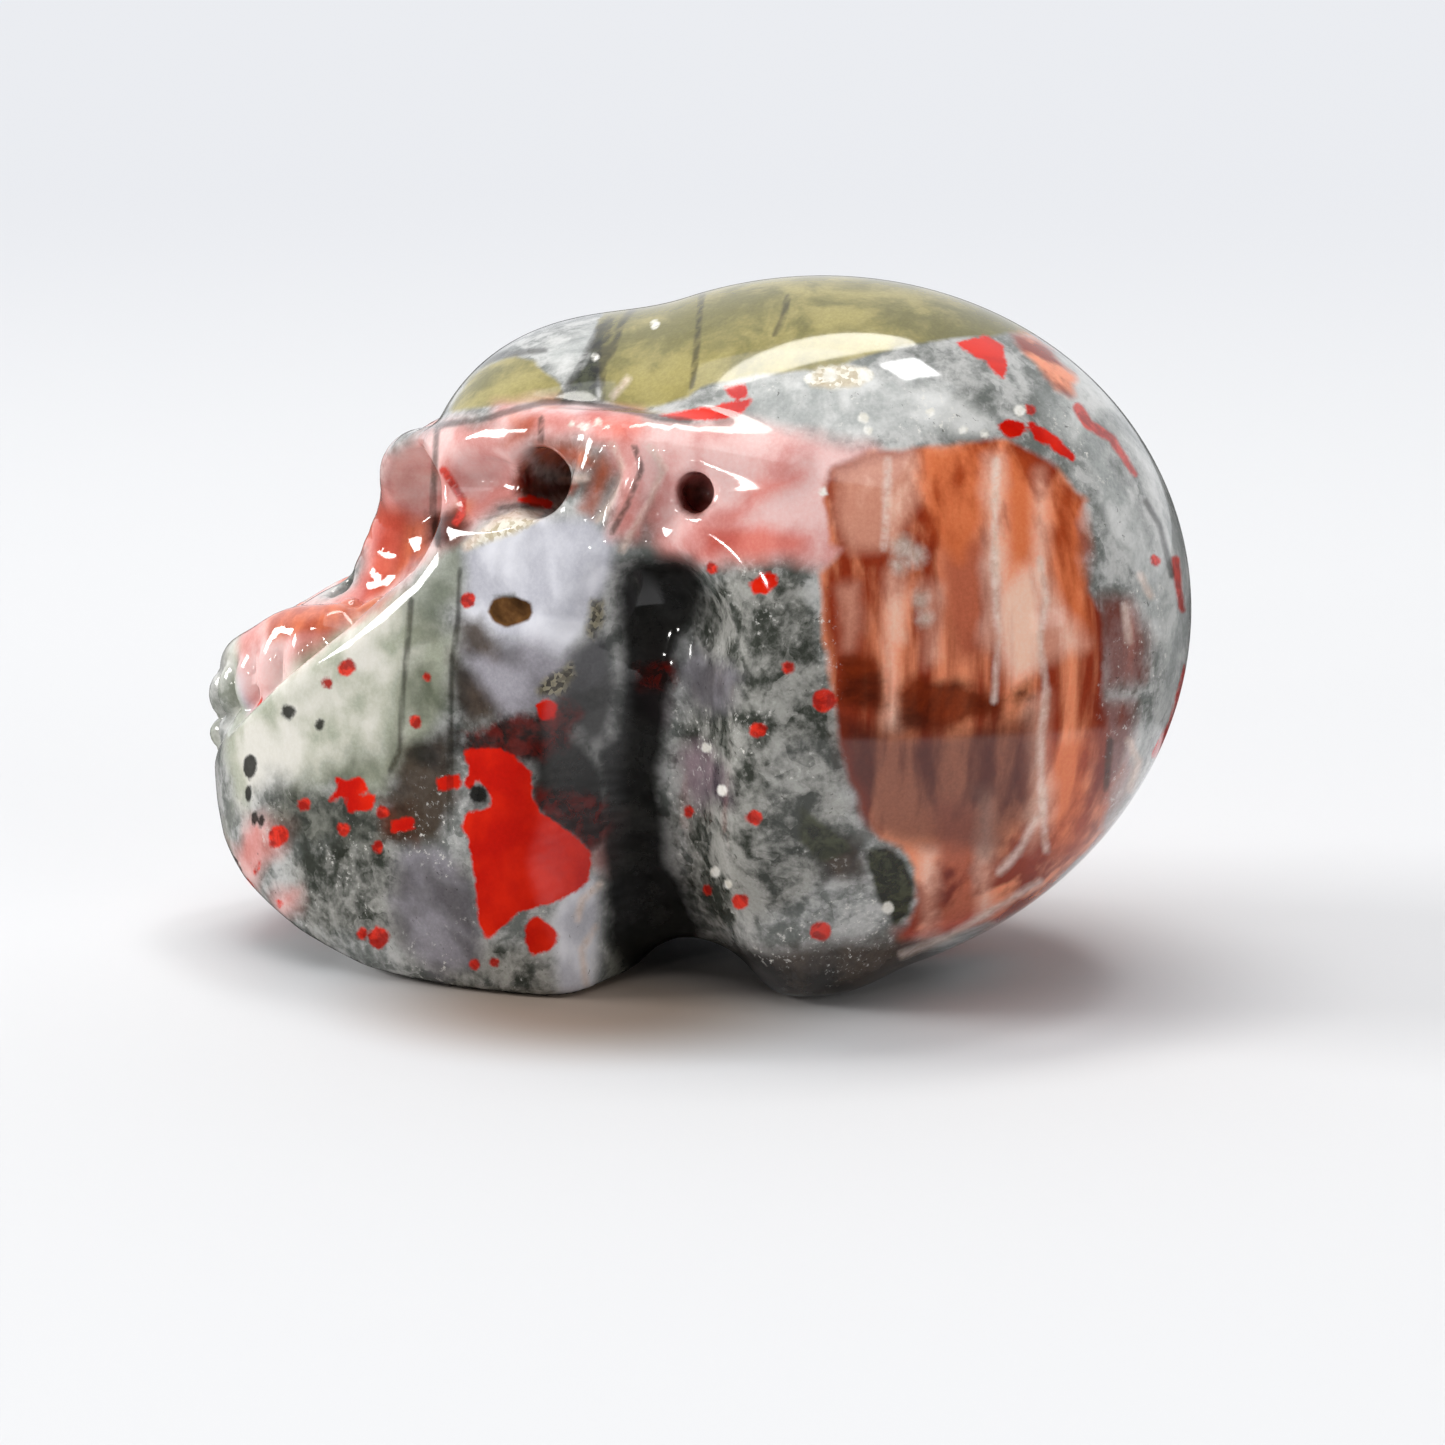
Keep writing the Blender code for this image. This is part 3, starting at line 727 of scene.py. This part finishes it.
class Wiring:
    """Short ways to add shader nodes to one tree. Places are in millimetres."""

    def __init__(self, tree):
        self.tree = tree
        place = self.add("ShaderNodeTexCoord").outputs["Object"]
        scaled = self.add("ShaderNodeVectorMath", operation="SCALE")
        self.link(place, scaled.inputs[0])
        scaled.inputs["Scale"].default_value = 1.0 / MM
        self.place = scaled.outputs[0]

    def add(self, kind, **settings):
        node = self.tree.nodes.new(kind)
        for name, value in settings.items():
            setattr(node, name, value)
        return node

    def link(self, source, target):
        """Leads a socket to another one, or sets a plain value there."""
        if isinstance(source, bpy.types.NodeSocket):
            self.tree.links.new(source, target)
        else:
            target.default_value = source

    def math(self, operation, *values):
        node = self.add("ShaderNodeMath", operation=operation)
        for value, socket in zip(values, node.inputs):
            self.link(value, socket)
        return node.outputs[0]

    def length(self, vector):
        node = self.add("ShaderNodeVectorMath", operation="LENGTH")
        self.link(vector, node.inputs[0])
        return node.outputs["Value"]

    def mix(self, share, first, second, blend="MIX"):
        node = self.add("ShaderNodeMix", data_type="RGBA", blend_type=blend)
        self.link(share, node.inputs["Factor"])
        self.link(first, node.inputs["A"])
        self.link(second, node.inputs["B"])
        return node.outputs["Result"]

    def ramp(self, value, low, high):
        """0 below low, 1 above high, smooth between."""
        node = self.add("ShaderNodeMapRange", interpolation_type="SMOOTHSTEP")
        for socket, number in zip(node.inputs, (value, low, high, 0.0, 1.0)):
            self.link(number, socket)
        return node.outputs["Result"]

    def field(self, name):
        """How far inside the zones of that name a place lies, in photograph pixels."""
        return self.add("ShaderNodeAttribute", attribute_name=name).outputs["Fac"]

    def stretched(self, stretch, turn=(0, 0, 0)):
        """Places turned by those degrees and scaled along each axis."""
        node = self.add("ShaderNodeMapping")
        self.link(self.place, node.inputs["Vector"])
        node.inputs["Rotation"].default_value = [math.radians(a) for a in turn]
        node.inputs["Scale"].default_value = stretch
        return node.outputs["Vector"]

    def noise(self, *settings, place=None):
        """Noise by its scale, detail, roughness and distortion."""
        node = self.add("ShaderNodeTexNoise")
        self.link(place or self.place, node.inputs["Vector"])
        for name, value in zip(("Scale", "Detail", "Roughness", "Distortion"), settings):
            node.inputs[name].default_value = value
        return node.outputs["Fac"]

    def grains(self, scale, place=None):
        """A random colour for each grain."""
        node = self.add("ShaderNodeTexVoronoi")
        self.link(place or self.place, node.inputs["Vector"])
        node.inputs["Scale"].default_value = scale
        return node.outputs["Color"]

    def bent(self, scale, amount):
        """Places pushed about by noise, so that what is drawn there loses its straight edges."""
        push = self.add("ShaderNodeTexNoise")
        self.link(self.place, push.inputs["Vector"])
        push.inputs["Scale"].default_value = scale
        node = self.add("ShaderNodeVectorMath", operation="MULTIPLY_ADD")
        self.link(push.outputs["Color"], node.inputs[0])
        node.inputs[1].default_value = (amount, amount, amount)
        self.link(self.place, node.inputs[2])
        return node.outputs[0]


# Kinds of colour from the bottom layer up: (kind, lighter colour, darker colour, how wavy, how ragged and how
# soft its edge is in pixels, how much it covers, the pattern that mixes its two colours).
LAYERS = [
    ("grey_green", (166, 165, 158), (44, 47, 38), 44, 16, 14, 0.85, "crystals"),
    ("mauve", (160, 136, 146), (92, 76, 88), 30, 10, 16, 0.8, "soft"),
    ("pale_grey", (232, 232, 230), (166, 170, 168), 30, 8, 14, 0.85, "cloud"),
    ("jade", (170, 174, 154), (96, 102, 82), 34, 4, 18, 0.93, "soft"),
    ("sage", (176, 180, 168), (130, 136, 120), 16, 3, 14, 0.93, "soft"),
    ("cream", (232, 229, 220), (180, 184, 164), 40, 4, 22, 0.95, "soft"),
    ("lavender_and_painted_light", (240, 240, 246), (200, 200, 208), 14, 2, 10, 0.97, "soft"),
    # The grey veil, in places a painted reflection.
    ("haze", (160, 156, 164), (104, 100, 104), 18, 3, 14, 0.93, "soft"),
    ("olive", (172, 160, 98), (120, 114, 62), 14, 3, 3, 0.97, "cloud"),
    ("pink_and_highlight", (246, 206, 202), (222, 146, 138), 26, 2, 14, 0.93, "soft"),
    ("brown", (248, 158, 116), (150, 54, 28), 22, 4, 5, 1.0, "columns"),
    ("rust", (178, 84, 60), (122, 48, 34), 24, 3, 14, 0.8, "columns"),
    ("orange", (226, 120, 70), (182, 76, 38), 24, 3, 10, 0.8, "columns"),
    ("soft_red", (236, 120, 100), (200, 76, 60), 26, 2, 14, 0.8, "soft"),
    ("pale_stripe_and_reflection", (255, 228, 210), (238, 176, 150), 22, 5, 13, 0.7, "columns"),
    ("dark_brown_and_shade", (130, 46, 12), (70, 20, 4), 22, 10, 9, 0.92, "cloud"),
    # Painted shade beside the groove.
    ("painted_groove_shade", (76, 75, 78), (32, 31, 30), 18, 3, 12, 0.92, "soft"),
    ("umber_and_shade", (76, 62, 50), (26, 18, 12), 18, 10, 12, 0.93, "cloud"),
    ("dark_green", (100, 102, 88), (36, 38, 28), 40, 12, 18, 0.8, "crystals"),
    ("deep_green", (70, 73, 52), (34, 36, 24), 10, 4, 4, 1.0, "mottle"),
    ("black_green_and_shade", (30, 29, 26), (7, 6, 5), 18, 4, 12, 0.97, "cloud"),
    # The brown patch under a painted reflection haze.
    ("brown_under_painted_haze", (110, 58, 44), (66, 30, 22), 26, 3, 18, 0.8, "columns"),
    ("gold", (250, 244, 230), (206, 192, 162), 8, 5, 4, 0.9, "sparkle"),
    ("brass", (150, 142, 116), (58, 52, 38), 8, 6, 5, 0.92, "sparkle"),
    ("amber", (140, 98, 58), (58, 38, 20), 3, 2, 2, 1.0, "cloud"),
    ("dim_red", (96, 16, 8), (32, 9, 6), 24, 16, 9, 0.95, "mottle"),
    ("red", (238, 42, 14), (206, 22, 8), 7, 9, 2, 1.0, "soft"),
    ("red_edge", (216, 66, 52), (170, 40, 30), 6, 4, 2, 0.9, "mottle"),
    ("red_spot", (236, 54, 34), (170, 24, 12), 10, 8, 2, 0.95, "mottle"),
    ("dark_vein_and_shade", (54, 48, 34), (24, 22, 18), 3, 2, 2, 0.66, "mottle"),
    ("black_spot", (30, 28, 24), (14, 14, 12), 9, 8, 2, 0.92, "mottle"),
    ("white_cloud", (226, 216, 206), (196, 180, 166), 14, 12, 8, 0.75, "mottle"),
    ("white_vein_and_highlight", (250, 232, 222), (222, 200, 186), 6, 4, 4, 0.7, "mottle"),
    ("white_spot", (252, 250, 244), (230, 226, 214), 5, 6, 2, 0.9, "mottle"),
]
# Noises: (scale per millimetre, detail, roughness, distortion). Those in PATTERNS also have the two values
# between which they turn from nothing to full.
BROAD = (0.36, 2.0, 0.5, 0.0)
FINE = (1.7, 5.0, 0.65, 0.0)
CLOUDS = (0.4, 3.0, 0.55, 0.5)
SHARDS = (1.6, 4.0, 0.65, 0.2)
THREADS = (1.0, 3.0, 0.55, 0.2)
BANDS = (1.0, 2.0, 0.5, 0.3)
PITS = (2.4, 4.0, 0.7, 0.5)
WAVES = (0.8, 3.0, 0.55, 0.0)
PATTERNS = {
    "soft": (0.32, 2.5, 0.5, 0.3, 0.36, 0.64),
    "mottle": (1.1, 4.0, 0.6, 0.6, 0.38, 0.64),
    "cloud": (0.28, 4.0, 0.6, 0.4, 0.36, 0.66),
    "sugar": (3.2, 5.0, 0.72, 0.0, 0.57, 0.66),
    "gathered": (0.3, 3.0, 0.6, 0.0, 0.47, 0.62),
    "grain": (5.0, 3.0, 0.7, 0.0, 0.3, 0.75),
}
NOISE_MIDDLE = 0.5
THREAD_STRETCH = (1.5, 1.5, 0.16)
BAND_STRETCH = (0.45, 0.45, 0.06)
THREAD_SHARE = 0.3
SHARD_SHARE = 0.55
CELL_SHARE = 0.16
CELL_SCALE = 1.3
CELL_BEND = (0.9, 1.2)
SPARKLE_SCALE = 4.5

# The crystals and pits lie over the layers up to this one, from a little outside the lively zones inward.
LAST_SPARKLING = "dark_green"
LIVELY_START = -8.0
LIVELY_FULL = 14.0
GROUND_COLOURS = (screen(116, 120, 116), screen(200, 200, 198))
SUGAR_COLOUR = screen(236, 234, 228)
SUGAR_COVER = 0.85
PIT_COLOUR = screen(40, 38, 30)
PIT_COVER = 0.6
PIT_TURN = (20, 40, 10)
GRAIN_COLOURS = (screen(110, 110, 110), screen(200, 200, 200))
GRAIN_SHARE = 0.22

# The polish. The height of its waves is in millimetres.
STONE_IOR = 1.54
LEAST_ROUGHNESS = 0.05
GRAIN_ROUGHNESS = 0.05
WAVE_STRENGTH = 0.05
WAVE_HEIGHT = 0.05


def new_material(name):
    """A material, the wiring of its nodes and its shader."""
    material = bpy.data.materials.new(name)
    material.use_nodes = True
    return material, Wiring(material.node_tree), material.node_tree.nodes["Principled BSDF"]


def stone_material():
    """The polished stone: its zones over a crystal ground, with a fine grain and a slightly wavy gloss."""
    material, wiring, shader = new_material("polished_bloodstone")
    broad = wiring.math("SUBTRACT", wiring.noise(*BROAD), NOISE_MIDDLE)
    fine = wiring.math("SUBTRACT", wiring.noise(*FINE), NOISE_MIDDLE)
    cells = wiring.grains(CELL_SCALE, wiring.bent(*CELL_BEND))
    crystals = wiring.math("MULTIPLY_ADD", wiring.noise(*SHARDS), SHARD_SHARE, wiring.noise(*CLOUDS))
    crystals = wiring.math("MULTIPLY_ADD", cells, CELL_SHARE, crystals)
    threads = wiring.noise(*THREADS, place=wiring.stretched(THREAD_STRETCH))
    bands = wiring.noise(*BANDS, place=wiring.stretched(BAND_STRETCH))
    columns = wiring.math("MULTIPLY_ADD", threads, THREAD_SHARE, bands)
    patterns = {name: wiring.ramp(wiring.noise(*row[:4]), *row[4:]) for name, row in PATTERNS.items()}
    patterns["crystals"] = wiring.ramp(crystals, 0.68, 1.04)
    patterns["columns"] = wiring.ramp(columns, 0.52, 0.78)
    patterns["sparkle"] = wiring.ramp(wiring.grains(SPARKLE_SCALE), 0.25, 0.7)

    colour = wiring.mix(patterns["crystals"], *GROUND_COLOURS)
    lively = wiring.ramp(wiring.field("lively"), LIVELY_START, LIVELY_FULL)
    sugar = wiring.math("MULTIPLY", patterns["sugar"], patterns["gathered"])
    sugar = wiring.math("MULTIPLY", sugar, wiring.math("MULTIPLY", lively, SUGAR_COVER))
    pits = wiring.noise(*PITS, place=wiring.stretched((1.0, 1.0, 1.0), PIT_TURN))
    pits = wiring.ramp(pits, 0.36, 0.30)
    pits = wiring.math("MULTIPLY", pits, wiring.math("MULTIPLY", lively, PIT_COVER))
    for kind, lighter, darker, wavy, ragged, soft, cover, pattern in LAYERS:
        edge = wiring.math("MULTIPLY_ADD", broad, wavy, wiring.math("MULTIPLY", fine, ragged))
        depth = wiring.math("ADD", wiring.field(kind), edge)
        share = wiring.math("MULTIPLY", wiring.ramp(depth, -soft, soft), cover)
        colour = wiring.mix(share, colour, wiring.mix(patterns[pattern], screen(*darker), screen(*lighter)))
        if kind == LAST_SPARKLING:
            colour = wiring.mix(sugar, colour, SUGAR_COLOUR)
            colour = wiring.mix(pits, colour, PIT_COLOUR)

    grain = patterns["grain"]
    colour = wiring.mix(GRAIN_SHARE, colour, wiring.mix(grain, *GRAIN_COLOURS), "OVERLAY")
    wiring.link(colour, shader.inputs["Base Color"])
    shader.inputs["IOR"].default_value = STONE_IOR
    rough = wiring.math("ADD", wiring.math("MULTIPLY", grain, GRAIN_ROUGHNESS), LEAST_ROUGHNESS)
    wiring.link(rough, shader.inputs["Roughness"])
    bump = wiring.add("ShaderNodeBump")
    bump.inputs["Strength"].default_value = WAVE_STRENGTH
    bump.inputs["Distance"].default_value = WAVE_HEIGHT * MM
    wiring.link(wiring.noise(*WAVES), bump.inputs["Height"])
    wiring.link(bump.outputs["Normal"], shader.inputs["Normal"])
    return material


def add_object(name, data):
    """A new object in the scene."""
    made = bpy.data.objects.new(name, data)
    bpy.context.scene.collection.objects.link(made)
    return made


def add_skull():
    mesh, corners = stone_mesh()
    add_zones(mesh, corners)
    mesh.materials.append(stone_material())
    skull = add_object("polished_skull", mesh)
    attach(skull, "root")
    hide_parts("skull")


BACKDROP_COLOUR = (0.80, 0.815, 0.85, 1.0)
BLACK = (0.0, 0.0, 0.0, 1.0)

# The floor, in metres. The camera sees it pass into the backdrop from FLOOR_NEAR to FLOOR_FAR.
FLOOR_RADIUS = 2.5
FLOOR_DROP = 0.00002
RIM_POINTS = 96
FLOOR_NEAR = 0.06
FLOOR_FAR = 0.42
SHEET_COLOUR = (0.67, 0.675, 0.69, 1.0)
# The polish shows the sheet within FLOOR_REACH behind the stone's middle, and a dark floor elsewhere.
FLOOR_REACH = 0.047
FLOOR_FADE = 0.004
FLOOR_SIDE = 0.010
POLISH_SHEET = (0.62, 0.62, 0.64, 1.0)
POLISH_DARK = (0.03, 0.03, 0.03, 1.0)
# A brownish shade painted on the sheet around where the stone stands, as if light came through the stone: its
# middle and half widths, and where it ends and where it is full, counted in half widths.
SHADE_COLOUR = (0.36, 0.29, 0.24, 1.0)
CONTACT = (0.012, -0.002, 0.0)
CONTACT_REACH = (0.008, 0.009, 1.0)
SHADE_END = 1.7
SHADE_FULL = 0.4


def floor_material():
    """A matt white sheet that passes into the backdrop, with a shade painted on it around the stone. In the
    polish it shows only close to the stone.
    """
    material, wiring, shader = new_material("white_sheet")
    reach = wiring.length(wiring.place)
    near = wiring.ramp(reach, (FLOOR_REACH + FLOOR_FADE) / MM, FLOOR_REACH / MM)
    parts = wiring.add("ShaderNodeSeparateXYZ")
    wiring.link(wiring.place, parts.inputs[0])
    rear = wiring.ramp(parts.outputs["Y"], 0.0, FLOOR_SIDE / MM)
    path = wiring.add("ShaderNodeLightPath")
    glossy = wiring.mix(wiring.math("MULTIPLY", near, rear), POLISH_DARK, POLISH_SHEET)
    contact = wiring.add("ShaderNodeMapping", vector_type="TEXTURE")
    wiring.link(wiring.place, contact.inputs["Vector"])
    contact.inputs["Location"].default_value = [c / MM for c in CONTACT]
    contact.inputs["Scale"].default_value = [c / MM for c in CONTACT_REACH]
    # The shade painted on the sheet around the stone.
    painted_shade = wiring.ramp(wiring.length(contact.outputs["Vector"]), SHADE_END, SHADE_FULL)
    sheet = wiring.mix(painted_shade, SHEET_COLOUR, SHADE_COLOUR)
    far = wiring.ramp(reach, FLOOR_NEAR / MM, FLOOR_FAR / MM)
    away = wiring.math("MULTIPLY", far, path.outputs["Is Camera Ray"])
    sheet = wiring.mix(away, sheet, BLACK)
    shader.inputs["Emission Color"].default_value = BACKDROP_COLOUR
    wiring.link(away, shader.inputs["Emission Strength"])
    wiring.link(wiring.mix(path.outputs["Is Glossy Ray"], sheet, glossy), shader.inputs["Base Color"])
    shader.inputs["Roughness"].default_value = 0.9
    shader.inputs["Specular IOR Level"].default_value = 0.1
    return material


def add_floor():
    mesh = bpy.data.meshes.new("floor")
    turns = [2 * math.pi * i / RIM_POINTS for i in range(RIM_POINTS)]
    rim = [(FLOOR_RADIUS * math.cos(t), FLOOR_RADIUS * math.sin(t), -FLOOR_DROP) for t in turns]
    mesh.from_pydata(rim, [], [list(range(RIM_POINTS))])
    mesh.materials.append(floor_material())
    add_object("floor", mesh)


# Lights by direction from the stone: (azimuth and elevation in degrees, distance, length and width in metres,
# azimuth that the length runs along, brightness as radiance, colour).
LIGHTS = {
    "overhead": (-58.0, 73.0, 1.6, 1.2, 0.34, -137.0, 9.0, (1.0, 0.975, 0.92)),
    "overhead_small": (-129.0, 73.0, 1.6, 0.28, 0.22, -120.0, 18.0, (1.0, 1.0, 1.0)),
    "ceiling": (70.0, 78.0, 2.6, 2.6, 2.6, 0.0, 1.7, (0.96, 0.98, 1.0)),
    "left_panel": (14.0, 22.0, 2.0, 0.8, 0.45, 104.0, 24.0, (1.0, 0.99, 0.97)),
    "front_left": (60.0, 12.0, 1.6, 0.11, 0.08, 150.0, 50.0, (1.0, 0.98, 0.95)),
    "front": (77.0, 17.0, 1.6, 0.11, 0.08, 167.0, 50.0, (1.0, 0.98, 0.95)),
    "right_fill": (150.0, 12.0, 2.0, 1.3, 0.9, 60.0, 2.6, (1.0, 0.98, 0.96)),
    "right_card": (165.0, -1.0, 1.4, 0.32, 0.28, 75.0, 1.6, (1.0, 0.98, 0.96)),
}
ROUND_LIGHTS = ("overhead", "front_left", "front")
HIDDEN_IN_POLISH = ("right_fill",)
STONE_CENTRE = Vector((0.0, 0.0, 0.017))


def toward(azimuth, elevation):
    """The direction out from the stone. Azimuth 0 is in front of the face and 90 at its left."""
    a, e = math.radians(azimuth), math.radians(elevation)
    return Vector((math.sin(a) * math.cos(e), -math.cos(a) * math.cos(e), math.sin(e)))


def add_lights():
    for name, (azimuth, elevation, distance, length, width, along, radiance, colour) in LIGHTS.items():
        light = bpy.data.lights.new(name, "AREA")
        light.shape = "ELLIPSE" if name in ROUND_LIGHTS else "RECTANGLE"
        light.size = length
        light.size_y = width
        area = length * width * (math.pi / 4 if name in ROUND_LIGHTS else 1.0)
        light.energy = radiance * math.pi * area
        light.color = colour
        lamp = add_object(name, light)
        out = toward(azimuth, elevation)
        side = out.cross(toward(along, 0.0)).normalized()
        turn = Matrix((side.cross(out), side, out)).transposed()
        lamp.matrix_world = Matrix.LocRotScale(STONE_CENTRE + out * distance, turn.to_quaternion(), None)
        lamp.visible_camera = False
        lamp.visible_glossy = name not in HIDDEN_IN_POLISH


ROOM_COLOUR = (0.012, 0.012, 0.013, 1.0)


def add_room():
    """A pale backdrop behind the stone, and on the camera's side a dark room that the camera never sees."""
    world = bpy.data.worlds.new("studio")
    bpy.context.scene.world = world
    world.use_nodes = True
    wiring = Wiring(world.node_tree)
    direction = wiring.add("ShaderNodeTexCoord").outputs["Generated"]
    side = wiring.add("ShaderNodeVectorMath", operation="DOT_PRODUCT")
    wiring.link(direction, side.inputs[0])
    side.inputs[1].default_value = -toward(math.degrees(AZIMUTH), 0.0)
    behind = wiring.ramp(side.outputs["Value"], 0.0, 0.6)
    room = wiring.mix(behind, ROOM_COLOUR, BACKDROP_COLOUR)
    seen = wiring.add("ShaderNodeLightPath").outputs["Is Camera Ray"]
    colour = wiring.mix(seen, room, BACKDROP_COLOUR)
    wiring.link(colour, world.node_tree.nodes["Background"].inputs["Color"])


def add_camera():
    camera = bpy.data.cameras.new("camera")
    camera.lens = LENS
    camera.sensor_width = SENSOR
    camera.clip_start = CLIP_START
    camera.clip_end = CLIP_END
    holder = add_object("camera", camera)
    place = Vector((EYE + (0.0, BACK_SHIFT, 0.0)) * MM)
    turn = Matrix((RIGHT, UP, BACK)).transposed().to_quaternion()
    holder.matrix_world = Matrix.LocRotScale(place, turn, None)
    bpy.context.scene.camera = holder


add_skull()
add_floor()
add_lights()
add_room()
add_camera()
bpy.context.scene.view_settings.view_transform = "Standard"
